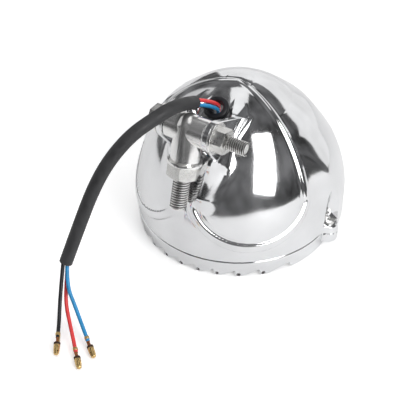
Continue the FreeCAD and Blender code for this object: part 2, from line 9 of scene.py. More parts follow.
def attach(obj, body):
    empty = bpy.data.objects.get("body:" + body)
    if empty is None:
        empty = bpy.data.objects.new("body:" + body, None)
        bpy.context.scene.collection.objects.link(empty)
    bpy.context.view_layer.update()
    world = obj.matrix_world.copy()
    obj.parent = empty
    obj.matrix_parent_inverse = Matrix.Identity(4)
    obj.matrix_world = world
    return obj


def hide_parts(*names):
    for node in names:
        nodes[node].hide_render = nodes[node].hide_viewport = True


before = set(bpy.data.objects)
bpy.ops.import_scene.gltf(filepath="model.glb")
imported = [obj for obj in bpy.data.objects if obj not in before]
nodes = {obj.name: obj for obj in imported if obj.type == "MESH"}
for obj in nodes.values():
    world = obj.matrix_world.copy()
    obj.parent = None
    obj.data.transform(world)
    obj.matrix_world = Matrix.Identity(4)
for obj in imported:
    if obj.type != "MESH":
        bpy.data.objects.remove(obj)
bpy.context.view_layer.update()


# Housing: one aluminium casting, polished to a mirror. A bullet-shaped shell carries two framed
# side panels, a brow cowl that overhangs them in a sharp ridge, and a screw boss on each side.
# The skin is a fine turned mesh, closer set on the mount side and laid on the cast form.
MM = 0.001
LAMP_AXIS = np.array([0.0, 1.2, 0.0])
SEAM_Z, SKIRT_Z, APEX_Z = 12.0, 20.0, 99.5
SKIRT_R, CAVITY_R = 61.5, 58.5
PANEL_RISE, BAND_RISE, CROWN_R = 0.9, 2.0, 8.0
PANEL_PHI, PANEL_EDGE, BAND_EDGE = (math.radians(a) for a in (41.0, 72.0, 76.0))
BROW_SLOPE = 2.3
PIVOT = np.array([0.0, -53.5, 96.0])
GROMMET_SEAT = np.array([0.0, -25.0, 92.87])
GROMMET_AXIS = np.array([0.0, -0.4968, 0.8679])
GROMMET_SEAT_R = 8.0
EAR_MIDDLE, EAR_HALF, EAR_R = 14.75, 1.75, 9.0
BOSS_FOOT, BOSS_RUN, BOSS_LONG = np.array([63.0, 4.5, SEAM_Z]), np.array([-7.0, 0.0, 34.0]), 34.0
BOSS_R, BOSS_TAPER = 5.8, 2.6
SCOOP_FOOT, SCOOP_R, SCOOP_TILT = np.array([63.4, 3.0, 17.0]), 4.7, math.radians(10.0)
BUTTRESS_HIGH, BUTTRESS_LOW = np.array([11.5, -46.8, 73.0]), np.array([9.5, -53.4, 53.0])


def soft_max(a, b, blend):
    """The larger of two distances, with the edge between them rounded over."""
    overlap = np.maximum(blend - np.abs(a - b), 0.0) / blend
    return np.maximum(a, b) + overlap * overlap * blend * 0.25


def soft_min(a, b, blend):
    return -soft_max(-a, -b, blend)


def smooth_line(xs, ys):
    """A natural cubic curve through a few given stations."""
    xs, ys = np.array(xs), np.array(ys)
    h = np.diff(xs)
    bend = np.eye(len(xs))
    load = np.zeros(len(xs))
    for i in range(1, len(xs) - 1):
        bend[i, i - 1:i + 2] = h[i - 1], 2 * (h[i - 1] + h[i]), h[i]
        load[i] = 6 * ((ys[i + 1] - ys[i]) / h[i] - (ys[i] - ys[i - 1]) / h[i - 1])
    curve = np.linalg.solve(bend, load)

    def at(x):
        x = np.clip(x, xs[0], xs[-1])
        i = np.clip(np.searchsorted(xs, x) - 1, 0, len(h) - 1)
        a, b = xs[i + 1] - x, x - xs[i]
        return ((curve[i] * a ** 3 + curve[i + 1] * b ** 3) / (6 * h[i])
                + (ys[i] / h[i] - curve[i] * h[i] / 6) * a + (ys[i + 1] / h[i] - curve[i + 1] * h[i] / 6) * b)
    return at


cowl_radius = smooth_line([12.0, 20.0, 32.0, 45.0, 58.0, 70.0, 81.0, 88.0],
                          [67.0, 67.0, 66.7, 63.9, 58.5, 50.4, 40.7, 30.6])
brow_z = [12.0, 30.0, 44.0, 56.0, 72.0, 84.0, 93.5, 99.0]
brow_x = [66.5, 66.5, 63.5, 59.5, 50.5, 41.0, 28.0, 16.0]
brow_y = [7.0, 7.0, 4.5, 1.5, -4.0, -6.5, -7.0, -7.0]
leaf_offset = smooth_line(brow_z, [y - BROW_SLOPE * x for x, y in zip(brow_x, brow_y)])


def bullet(r, z, rise):
    """Distance outside the bullet shape, lifted by rise at the skirt."""
    wide, tall = SKIRT_R + rise, APEX_Z - SKIRT_Z + 0.05 * rise
    high = np.maximum(z - SKIRT_Z, 0.0)
    share = np.sqrt((r / wide) ** 2 + (high / tall) ** 2)
    slope = np.sqrt((r / wide ** 2) ** 2 + (high / tall ** 2) ** 2) / share
    return (share - 1.0) / slope


def panel(x, y, z, grow, grow_low, edge):
    """Distance outside the outline of the panel on the +X side."""
    along = x * math.cos(PANEL_PHI) + y * math.sin(PANEL_PHI) + 1.5
    out = x * math.sin(PANEL_PHI) - y * math.cos(PANEL_PHI)
    half, deep = 32.8 + grow, 23.8 + grow_low
    low = np.maximum(50.0 - z, 0.0)
    share = np.sqrt((along / half) ** 2 + (low / deep) ** 2) + 1e-9
    slope = np.sqrt((along / half ** 2) ** 2 + (low / deep ** 2) ** 2) / share + 1e-9
    beyond = x * math.cos(edge) + y * math.sin(edge)
    return np.maximum(np.maximum((share - 1.0) / slope, beyond), -out)


def ear_distance(x, y, z):
    """Distance outside the two plates that carry the pivot bolt, above the shell."""
    top_n = np.array([-0.4165, 0.9091])
    low_n = np.array([-0.7872, -0.6167])
    top = (y - PIVOT[1]) * -top_n[0] + (z - PIVOT[2]) * top_n[1] - EAR_R
    low = (y - PIVOT[1]) * low_n[0] + (z - PIVOT[2]) * low_n[1] - EAR_R
    flare = np.clip((np.hypot(y - PIVOT[1], z - PIVOT[2]) - 12.0) * 0.14, 0.0, 2.5)
    sides = np.maximum((np.abs(np.abs(x) - EAR_MIDDLE) - EAR_HALF - flare) * 1.7, y + 22.0)
    return np.maximum(np.maximum(sides, top), low)


def housing_form(p):
    """Distance outside the cast form, in millimetres from the lamp axis."""
    x, y, z = np.abs(p[:, 0]), p[:, 1], p[:, 2]
    r = np.hypot(x, y)
    crown = r - CROWN_R
    inner_edge = np.minimum(panel(x, y, z, 0.0, 0.0, PANEL_EDGE), panel(-x, y, z, 0.0, 0.0, PANEL_EDGE))
    outer_edge = np.minimum(panel(x, y, z, 3.8, 6.0, BAND_EDGE), panel(-x, y, z, 3.8, 6.0, BAND_EDGE))
    inside, framed = np.minimum(inner_edge, crown), np.minimum(outer_edge, crown)
    dome = soft_max(bullet(r, z, PANEL_RISE), framed, 0.8)
    band = soft_max(soft_max(bullet(r, z, BAND_RISE), framed, 2.0), -inside, 1.6)
    form = soft_min(soft_min(bullet(r, z, 0.0), dome, 0.5), band, 1.3)
    form += 0.14 * np.exp(-((outer_edge - 0.5) / 0.8) ** 2) + 0.1 * np.exp(-((inner_edge + 0.6) / 0.8) ** 2)
    form -= 0.08 * np.exp(-((inner_edge + 2.7) / 0.8) ** 2)
    leaf = (BROW_SLOPE * x - y + leaf_offset(z)) / math.hypot(BROW_SLOPE + 0.4, 1.0)
    cowl = np.maximum((r - cowl_radius(z)) * 0.8, z - 88.0)
    cowl = soft_max(cowl, leaf, 0.9)
    cowl = np.maximum(cowl, -(x * math.cos(BAND_EDGE) + y * math.sin(BAND_EDGE)))
    form = soft_min(form, cowl, 0.9)
    half = np.stack([x, y, z], 1)
    lean = BOSS_RUN / np.linalg.norm(BOSS_RUN)
    q = half - BOSS_FOOT
    climb = q @ lean
    boss = np.linalg.norm(q - climb[:, None] * lean, axis=1) - (BOSS_R - BOSS_TAPER * climb / BOSS_LONG)
    boss = soft_max(boss, climb - BOSS_LONG, 3.0)
    form = soft_min(form, boss, 1.6)
    tilt = np.array([math.sin(SCOOP_TILT), 0.0, math.cos(SCOOP_TILT)])
    q = half - SCOOP_FOOT
    climb = q @ tilt
    scoop = np.maximum(np.linalg.norm(q - climb[:, None] * tilt, axis=1) - SCOOP_R, -climb)
    form = soft_max(form, -scoop, 0.9)
    q = p - GROMMET_SEAT
    climb = q @ GROMMET_AXIS
    seat = np.maximum(np.linalg.norm(q - climb[:, None] * GROMMET_AXIS, axis=1) - GROMMET_SEAT_R, -climb)
    form = soft_max(form, -seat, 0.4)
    form = form - 0.16 * np.exp(-(x / 0.7) ** 2) * np.clip((46.0 - z) / 8.0, 0.0, 1.0) * (y < 0)
    run = BUTTRESS_LOW - BUTTRESS_HIGH
    q = half - BUTTRESS_HIGH
    share = np.clip(q @ run / (run @ run), 0.0, 1.0)
    buttress = np.linalg.norm(q - share[:, None] * run, axis=1) - (5.0 - 4.0 * share)
    form = soft_min(form, buttress, 11.0)
    fillet = np.clip(11.0 + (87.0 - z) * 0.6, 11.0, 20.0)
    fillet -= (fillet - 5.0) * np.clip((x - 13.5) / 4.0, 0.0, 1.0)
    return soft_min(form, np.maximum(ear_distance(x, y, z), 0.0) + fillet * 0.25, fillet)


def outward(p):
    """Unit direction away from the bullet shape at each point."""
    high = np.maximum(p[:, 2] - SKIRT_Z, 0.0) / (APEX_Z - SKIRT_Z) ** 2
    n = np.stack([p[:, 0] / SKIRT_R ** 2, p[:, 1] / SKIRT_R ** 2, high], 1)
    return n / np.linalg.norm(n, axis=1)[:, None]


def laid_on(p, form, directions, reach_out, reach_in):
    """The points moved along their directions onto the outermost face of the form."""
    steps = np.arange(reach_out, -reach_in, -0.25)
    found = np.full(len(p), -reach_in)
    waiting = np.ones(len(p), bool)
    for step in steps:
        inside = np.zeros(len(p), bool)
        inside[waiting] = form(p[waiting] + directions[waiting] * step) < 0
        found[inside] = step
        waiting &= ~inside
    near, far = found, found + 0.25
    for _ in range(12):
        middle = (near + far) / 2
        inside = form(p + directions * middle[:, None]) < 0
        near, far = np.where(inside, middle, near), np.where(inside, far, middle)
    return p + directions * near[:, None]


def face_normals(p, form):
    """Outward normals of the form, by differences."""
    n = np.zeros_like(p)
    for axis in range(3):
        step = np.zeros(3)
        step[axis] = 0.03
        n[:, axis] = form(p + step) - form(p - step)
    return n / (np.linalg.norm(n, axis=1)[:, None] + 1e-12)


def bullet_feet(p):
    """The points brought back to the bullet shape along its normal."""
    d = outward(p)
    r = np.hypot(p[:, 0], p[:, 1])
    feet = p - d * bullet(r, p[:, 2], 0.0)[:, None]
    return feet, outward(feet)


def housing_project(p):
    feet, away = bullet_feet(p)
    return laid_on(feet, housing_form, away, 9.5, 1.5)


bm = bmesh.new()
profile = [bm.verts.new((SKIRT_R * math.sin(a), 0.0, SKIRT_Z + (APEX_Z - SKIRT_Z) * math.cos(a)))
           for a in np.linspace(0.0, math.pi / 2, 142)]
profile += [bm.verts.new((SKIRT_R, 0.0, z)) for z in np.arange(SKIRT_Z - 0.5, SEAM_Z - 0.1, -0.5)]
ridge = [bm.edges.new(pair) for pair in zip(profile, profile[1:])]
bmesh.ops.spin(bm, geom=profile + ridge, cent=(0, 0, 0), axis=(0, 0, 1), angle=2 * math.pi, steps=540, use_merge=True)
bmesh.ops.remove_doubles(bm, verts=bm.verts, dist=0.004)
bmesh.ops.remove_doubles(bm, verts=[v for v in bm.verts if v.co.x > 10.0 and abs(v.co.y) < 0.1], dist=0.08)
bmesh.ops.recalc_face_normals(bm, faces=bm.faces)
co = np.array([v.co for v in bm.verts])
turn = np.arctan2(co[:, 0], -co[:, 1])
turn -= 0.3 * np.sin(turn)
span = np.hypot(co[:, 0], co[:, 1])
co = housing_project(np.stack([span * np.sin(turn), -span * np.cos(turn), co[:, 2]], 1))
for v, place in zip(bm.verts, co):
    v.co = place
rim = [e for e in bm.edges if e.is_boundary]
inner = []
for radius, z in ((CAVITY_R, SEAM_Z), (CAVITY_R, SKIRT_Z), (50.0, 60.0), (30.0, 86.0), (4.0, 96.4)):
    grown = bmesh.ops.extrude_edge_only(bm, edges=rim)
    rim = [g for g in grown["geom"] if isinstance(g, bmesh.types.BMEdge)]
    for v in (g for g in grown["geom"] if isinstance(g, bmesh.types.BMVert)):
        flat = Vector((v.co.x, v.co.y)).normalized() * radius
        v.co = (flat.x, flat.y, z)
        inner.append(v)
bmesh.ops.holes_fill(bm, edges=rim, sides=0)
bm.verts.index_update()
points = np.array([v.co for v in bm.verts])
normals = face_normals(points, housing_form)
inner = [v.index for v in inner]
normals[inner] = -outward(points[inner])
for v, place in zip(bm.verts, (points + LAMP_AXIS) * MM):
    v.co = place
for f in bm.faces:
    f.smooth = True
mesh = bpy.data.meshes.new("housing_shell")
bm.to_mesh(mesh)
bm.free()
mesh.normals_split_custom_set_from_vertices([Vector(n) for n in normals])
housing = bpy.data.objects.new("housing_shell", mesh)
bpy.context.collection.objects.link(housing)
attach(housing, "lamp")
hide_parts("housing")


def surface(name, colour, metallic, roughness, mottle, scale, height):
    """A procedural finish: colour that varies by a share, roughness that wanders, and a fine grain."""
    material = bpy.data.materials.new(name)
    material.use_nodes = True
    tree = material.node_tree
    shader = tree.nodes["Principled BSDF"]
    shader.inputs["Metallic"].default_value = metallic
    place = tree.nodes.new("ShaderNodeTexCoord")
    cloud = tree.nodes.new("ShaderNodeTexNoise")
    cloud.inputs["Scale"].default_value = scale
    cloud.inputs["Detail"].default_value = 5.0
    tree.links.new(place.outputs["Object"], cloud.inputs["Vector"])
    tone = tree.nodes.new("ShaderNodeValToRGB")
    for stop, at, share in zip(tone.color_ramp.elements, (0.32, 0.68), (1.0 - mottle, 1.0 + mottle)):
        stop.position = at
        stop.color = [min(c * share, 1.0) for c in colour] + [1.0]
    tree.links.new(cloud.outputs["Fac"], tone.inputs["Fac"])
    tree.links.new(tone.outputs["Color"], shader.inputs["Base Color"])
    wander = tree.nodes.new("ShaderNodeMapRange")
    wander.inputs["From Min"].default_value = 0.3
    wander.inputs["From Max"].default_value = 0.7
    wander.inputs["To Min"].default_value = roughness * 0.7
    wander.inputs["To Max"].default_value = min(roughness * 1.35, 1.0)
    tree.links.new(cloud.outputs["Fac"], wander.inputs["Value"])
    tree.links.new(wander.outputs["Result"], shader.inputs["Roughness"])
    grain = tree.nodes.new("ShaderNodeTexNoise")
    grain.inputs["Scale"].default_value = scale * 7.0
    grain.inputs["Detail"].default_value = 2.0
    tree.links.new(place.outputs["Object"], grain.inputs["Vector"])
    relief = tree.nodes.new("ShaderNodeBump")
    relief.inputs["Strength"].default_value = 1.0
    relief.inputs["Distance"].default_value = height
    tree.links.new(grain.outputs["Fac"], relief.inputs["Height"])
    tree.links.new(relief.outputs["Normal"], shader.inputs["Normal"])
    return material


polish = surface("polished_casting", (0.83, 0.835, 0.845), 1.0, 0.1, 0.05, 45.0, 0.00002)
housing.data.materials.append(polish)


# Ears of the mount: two plates cast with the housing, round at the bolt and running back into the
# dome. Their edges are broken by hand polishing.
def metal_piece(name, bm, material, node, body, bevel=0.0):
    """Finishes a mesh as a piece: rounded edges, smooth shading, its material and its place in the frame."""
    for f in bm.faces:
        f.smooth = True
    mesh = bpy.data.meshes.new(name)
    bm.to_mesh(mesh)
    bm.free()
    piece = bpy.data.objects.new(name, mesh)
    bpy.context.collection.objects.link(piece)
    if bevel:
        edge = piece.modifiers.new("rounded_edges", "BEVEL")
        edge.width, edge.segments, edge.limit_method, edge.angle_limit = bevel, 3, "ANGLE", math.radians(35)
        edge.harden_normals = True
    mesh.set_sharp_from_angle(angle=math.radians(35))
    mesh.materials.append(material)
    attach(piece, body)
    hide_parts(node)
    return piece


for side in (1, -1):
    bm = bmesh.new()
    outline = [(PIVOT[1] + EAR_R * math.cos(a), PIVOT[2] + EAR_R * math.sin(a))
               for a in np.linspace(math.radians(65.4), math.radians(218.1), 28)]
    outline += [(-43.0, 68.0), (-30.0, 60.0), (-21.0, 91.0)]
    ring = [bm.verts.new((side * (EAR_MIDDLE - EAR_HALF) * MM, (y + LAMP_AXIS[1]) * MM, z * MM)) for y, z in outline]
    plate = bm.faces.new(ring)
    grown = bmesh.ops.extrude_face_region(bm, geom=[plate])
    bmesh.ops.translate(bm, verts=[g for g in grown["geom"] if isinstance(g, bmesh.types.BMVert)],
                        vec=(side * 2 * EAR_HALF * MM, 0, 0))
    bmesh.ops.recalc_face_normals(bm, faces=bm.faces)
    metal_piece("ear_" + ("right" if side > 0 else "left"), bm, polish, "housing", "lamp",
                0.6 * MM)


# Bezel: a cast ring that carries the lens, polished like the housing. Its lower edge is cut in
# saw-like lobes along the underside, and an ear on each side takes the screw.
RIM_CORE = np.array([58.8, 4.5])
TOOTH_PITCH, TOOTH_FIRST_X, TOOTH_H = 11.67, -50.8, 4.4
PITS = [(a, -math.sqrt(61.4 ** 2 - a ** 2)) for a in (TOOTH_FIRST_X + TOOTH_PITCH * (k + 0.17) for k in range(9))]
bezel_radius = smooth_line([0.0, 3.0, 6.0, 10.0, 12.0], [60.9, 61.2, 61.5, 61.9, 61.7])


def bezel_form(p):
    x, y, z = p[:, 0], p[:, 1], p[:, 2]
    r = np.hypot(x, y)
    wall = soft_max(soft_max(r - bezel_radius(z), -z, 0.9), z - 12.0, 1.0)
    wall = np.maximum(wall, 56.5 - r)
    ledge = np.maximum(np.maximum(52.5 - r, r - 58.0), np.maximum(z - 5.0, (55.0 - r) - z))
    form = np.minimum(wall, np.maximum(ledge, -z))
    ear = np.maximum(np.hypot(np.abs(x) - 63.0, y - 4.5) - 5.8, np.maximum(4.8 - z, z - 12.0))
    form = soft_min(form, np.maximum(ear, 56.5 - r), 1.0)
    share = ((x - TOOTH_FIRST_X) / TOOTH_PITCH) % 1.0
    lobe = TOOTH_H * np.clip((share - 0.25) / 0.7, 0.0, 1.0) ** 1.2
    cut = np.where((y < -14.0) & (r > 57.0), lobe - z, -5.0)
    form = soft_max(form, cut, 0.4)
    for across, drop in PITS:
        form = soft_max(form, 1.3 - np.sqrt((x - across) ** 2 + (y - drop) ** 2 + (z - 1.5) ** 2), 0.4)
    return form


def bezel_project(p):
    r = np.hypot(p[:, 0], p[:, 1])
    core = np.stack([p[:, 0] / r * RIM_CORE[0], p[:, 1] / r * RIM_CORE[0], np.full(len(p), RIM_CORE[1])], 1)
    away = p - core
    away /= np.linalg.norm(away, axis=1)[:, None]
    return laid_on(core, bezel_form, away, 11.0, 0.3)


bm = bmesh.new()
hoop = [bm.verts.new((RIM_CORE[0] + 4 * math.cos(a), 0.0, RIM_CORE[1] + 4 * math.sin(a)))
        for a in np.linspace(0.0, 2 * math.pi, 64, endpoint=False)]
hoop_edges = [bm.edges.new((hoop[i - 1], hoop[i])) for i in range(len(hoop))]
bmesh.ops.spin(bm, geom=hoop + hoop_edges, cent=(0, 0, 0), axis=(0, 0, 1), angle=2 * math.pi, steps=840,
               use_merge=True)
for v, place in zip(bm.verts, bezel_project(np.array([v.co for v in bm.verts]))):
    v.co = place
bmesh.ops.recalc_face_normals(bm, faces=bm.faces)
points = np.array([v.co for v in bm.verts])
normals = face_normals(points, bezel_form)
# Faces in the small pits at the tooth ends take the second material, a dark colour that paints the shade in them.
for f in bm.faces:
    middle = f.calc_center_median()
    f.material_index = any(math.dist(middle, (a, b, 1.5)) < 1.25 for a, b in PITS) if middle.z < 3.0 else 0
for v, place in zip(bm.verts, (points + LAMP_AXIS) * MM):
    v.co = place
bezel = metal_piece("bezel_ring", bm, polish, "bezel", "lamp")
# The dark pit material is painted shade.
bezel.data.materials.append(surface("painted_shade_pit", (0.2, 0.19, 0.19), 1.0, 0.4, 0.3, 300.0, 0.00002))
bezel.data.normals_split_custom_set_from_vertices([Vector(n) for n in normals])


# Bezel screws, nuts and washers: bought steel parts in bright zinc, shown as turned and pressed,
# with their edges broken.
zinc = surface("dull_zinc", (0.74, 0.735, 0.72), 1.0, 0.3, 0.12, 260.0, 0.00003)
plated = surface("bright_plating", (0.93, 0.925, 0.915), 0.93, 0.2, 0.04, 90.0, 0.00001)
# The thread-root colour is painted shade: it darkens the grooves of the rolled threads.
painted_root_shade = surface("painted_shade_thread_root", (0.13, 0.125, 0.12), 1.0, 0.45, 0.2, 300.0, 0.00002)
for name in ("stud_washer", "stud_nut", "pivot_nut", "pivot_washers", "bezel_screws"):
    piece = nodes[name]
    piece.data.materials.clear()
    piece.data.materials.append(plated if "washer" in name else zinc)
    weld = piece.modifiers.new("weld", "WELD")
    weld.merge_threshold = 0.00001
    edge = piece.modifiers.new("broken_edges", "BEVEL")
    edge.width, edge.segments, edge.limit_method, edge.angle_limit = 0.00025, 2, "ANGLE", math.radians(25)


def turned(bm, stations, base, axis, steps=48):
    """A turned body about an axis, from (radius, distance along the axis) stations, all in millimetres."""
    turn = Vector((0, 0, 1)).rotation_difference(Vector(axis)).to_matrix().to_4x4()
    place = Matrix.Translation(Vector(base)) @ turn
    line = [bm.verts.new((radius, 0, along)) for radius, along in stations]
    edges = [bm.edges.new(pair) for pair in zip(line, line[1:])]
    made = bmesh.ops.spin(bm, geom=line + edges, cent=(0, 0, 0), axis=(0, 0, 1), angle=2 * math.pi, steps=steps,
                          use_merge=True)
    body = {v for g in made["geom_last"] for v in ([g] if isinstance(g, bmesh.types.BMVert) else [])}
    body |= set(line)
    todo = list(body)
    while todo:
        for e in todo.pop().link_edges:
            for v in e.verts:
                if v not in body:
                    body.add(v)
                    todo.append(v)
    bmesh.ops.transform(bm, matrix=place, verts=list(body))


def thread(bm, radius, pitch, depth, turns, base, axis, steps=28):
    """A helical V thread on a rod, open at both ends."""
    turn = Vector((0, 0, 1)).rotation_difference(Vector(axis)).to_matrix().to_4x4()
    place = Matrix.Translation(Vector(base)) @ turn
    root = radius - depth
    tooth = [(root, 0.0), (root, pitch * 0.1), (radius - depth * 0.5, pitch * 0.28), (radius, pitch * 0.45),
             (radius, pitch * 0.6), (radius - depth * 0.5, pitch * 0.77), (root, pitch * 0.95), (root, pitch)]
    line = [bm.verts.new((r, 0, along)) for r, along in tooth]
    edges = [bm.edges.new(pair) for pair in zip(line, line[1:])]
    before = set(bm.verts) - set(line)
    bmesh.ops.spin(bm, geom=line + edges, cent=(0, 0, 0), axis=(0, 0, 1), dvec=(0, 0, pitch / steps),
                   angle=2 * math.pi * turns, steps=steps * turns)
    made = [v for v in bm.verts if v not in before]
    bmesh.ops.remove_doubles(bm, verts=made, dist=pitch * 0.01)
    made = [v for v in bm.verts if v not in before]
    # Faces low in the grooves take the second material, which paints the shade there.
    for f in {f for v in made for f in v.link_faces}:
        middle = f.calc_center_median()
        f.material_index = 1 if math.hypot(middle.x, middle.y) < radius - depth * 0.55 else 0
    bmesh.ops.transform(bm, matrix=place, verts=made)


# Swivel stud: a turned steel post with a cross barrel on the pivot bolt and a rolled M10 thread,
# bright zinc plated. It tilts on the pivot to aim the lamp.
STUD_DOWN = np.array([0.0, -0.258819, -0.965926])
BARREL_R, BARREL_HALF, POST_R, POST_TOP_R, POST_LONG = 8.2, 12.8, 8.6, 9.0, 18.5
EDGE = 0.7
pivot = PIVOT + LAMP_AXIS
bm = bmesh.new()
turned(bm, [(0, -BARREL_HALF), (BARREL_R - EDGE, -BARREL_HALF), (BARREL_R, EDGE - BARREL_HALF),
            (BARREL_R, BARREL_HALF - EDGE), (BARREL_R - EDGE, BARREL_HALF), (0, BARREL_HALF)], pivot, (1, 0, 0), 72)
round_top = [(POST_TOP_R * math.sin(a), -POST_TOP_R * math.cos(a))
             for a in np.linspace(0.0, math.asin(POST_R / POST_TOP_R) - 0.05, 16)]
turned(bm, round_top + [(POST_R, -2.2), (POST_R, 17.7), (POST_R - EDGE, POST_LONG), (0, POST_LONG)], pivot, STUD_DOWN,
       64)
turned(bm, [(0, 0), (4.1, 0), (4.1, 29.5), (3.9, 30.4), (0, 30.5)], pivot + STUD_DOWN * POST_LONG, STUD_DOWN, 32)
thread(bm, 5.0, 1.5, 0.85, 13, pivot + STUD_DOWN * 28.4, STUD_DOWN)
bmesh.ops.recalc_face_normals(bm, faces=bm.faces)
bmesh.ops.scale(bm, vec=(MM, MM, MM), verts=bm.verts)
metal_piece("swivel_stud_turned", bm, plated, "swivel_stud", "mount").data.materials.append(painted_root_shade)

# Pivot bolt: a hex-head M8 bolt through both ears, its thread standing out past the nut.
bm = bmesh.new()
head = bmesh.ops.create_cone(bm, cap_ends=True, segments=6, radius1=7.5, radius2=7.5, depth=5.3)
bmesh.ops.rotate(bm, verts=head["verts"], matrix=Matrix.Rotation(math.pi / 2, 3, "Y"))
bmesh.ops.translate(bm, verts=head["verts"], vec=Vector(pivot) + Vector((-18.1 - 2.65, 0, 0)))
turned(bm, [(0, -18.1), (4.0, -18.1), (4.0, 24.0), (3.3, 24.5), (3.3, 35.0), (2.9, 35.8), (0, 35.8)], pivot,
       (1, 0, 0), 40)
thread(bm, 4.0, 1.25, 0.7, 9, pivot + np.array([24.2, 0, 0]), (1, 0, 0))
bmesh.ops.recalc_face_normals(bm, faces=bm.faces)
bmesh.ops.scale(bm, vec=(MM, MM, MM), verts=bm.verts)
metal_piece("pivot_bolt_turned", bm, zinc, "pivot_bolt", "lamp").data.materials.append(painted_root_shade)


# Grommet: a moulded rubber bush in the hole of the dome, with a round lip.
rubber = surface("black_rubber", (0.012, 0.012, 0.015), 0.0, 0.42, 0.25, 300.0, 0.00003)
bm = bmesh.new()
lip = [(4.0 + 1.7 * (1 - math.cos(a)), 1.2 + 1.4 * math.sin(a)) for a in np.linspace(0, math.pi, 14)]
turned(bm, [(4.0, -3.6)] + lip + [(7.4, 0.0), (5.6, 0.0), (5.6, -3.6), (4.0, -3.6)], GROMMET_SEAT + LAMP_AXIS,
       GROMMET_AXIS, 48)
bmesh.ops.remove_doubles(bm, verts=bm.verts, dist=0.001)
bmesh.ops.recalc_face_normals(bm, faces=bm.faces)
bmesh.ops.scale(bm, vec=(MM, MM, MM), verts=bm.verts)
metal_piece("grommet_bush", bm, rubber, "grommet", "lamp")


# Cord: three insulated leads come out of the grommet into a black sleeve, and out of its far end as
# three wires. All follow the routes of the solids they stand for.
def cord_piece(name, route, diameter, material, stands_for):
    curve = bpy.data.curves.new(name, "CURVE")
    curve.dimensions = "3D"
    line = curve.splines.new("NURBS")
    line.points.add(len(route) - 1)
    for point, place in zip(line.points, route):
        point.co = (place[0] * MM, place[1] * MM, place[2] * MM, 1.0)
    line.order_u = 3
    line.use_endpoint_u = True
    line.resolution_u = 16
    curve.bevel_depth = diameter / 2
    curve.bevel_resolution = 6
    curve.use_fill_caps = True
    curve.materials.append(material)
    piece = bpy.data.objects.new(name, curve)
    bpy.context.collection.objects.link(piece)
    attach(piece, "lamp")
    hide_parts(stands_for)
    return piece


LEADS = {
    "red": [(0.0, -3.42, 69.33), (0.0, -15.99, 84.66), (0.0, -23.74, 98.2), (-3.35, -40.99, 107.17)],
    "blue": [(1.0, -6.8, 69.33), (1.0, -18.33, 83.32), (1.0, -26.08, 96.86), (-2.03, -42.03, 105.07)],
    "black": [(-0.9, -9.93, 69.33), (-0.9, -20.5, 82.08), (-0.9, -28.25, 95.62), (-4.82, -41.82, 105.07)],
}
SLEEVE = [(-3.4, -41.6, 105.8), (-4.6, -57.2, 112.8), (-9.0, -72.0, 110.6), (-15.2, -84.4, 105.5),
          (-21.9, -95.7, 93.8), (-26.8, -104.8, 78.9), (-32.0, -114.0, 55.8), (-36.8, -122.3, 33.3)]
WIRES = {
    "black": [(-38.07, -123.06, 33.85), (-34.8, -130.3, 24.0), (-32.0, -136.4, 14.5), (-28.6, -142.2, 7.5),
              (-24.98, -147.96, 5.47)],
    "red": [(-36.9, -120.79, 32.76), (-33.6, -127.4, 23.6), (-29.4, -134.4, 14.0), (-20.0, -142.3, 5.5),
            (-11.07, -150.59, 3.71)],
    "blue": [(-35.33, -123.06, 33.27), (-31.2, -129.8, 24.4), (-24.8, -132.2, 14.4), (-16.8, -136.8, 7.0),
             (-10.03, -141.54, 4.93)],
}
insulation = {
    "red": surface("insulation_red", (0.8, 0.055, 0.06), 0.0, 0.38, 0.1, 200.0, 0.00002),
    "blue": surface("insulation_blue", (0.03, 0.3, 0.62), 0.0, 0.38, 0.1, 200.0, 0.00002),
    "black": surface("insulation_black", (0.014, 0.015, 0.019), 0.0, 0.38, 0.2, 200.0, 0.00002),
}
sheath = surface("sleeve_sheath", (0.04, 0.04, 0.042), 0.0, 0.55, 0.2, 220.0, 0.00005)
for colour in ("red", "blue", "black"):
    cord_piece("lead_" + colour + "_run", LEADS[colour], 0.0022, insulation[colour],
               "lead_" + colour)
cord_piece("sleeve_run", SLEEVE, 0.0076, sheath, "cable_sleeve")

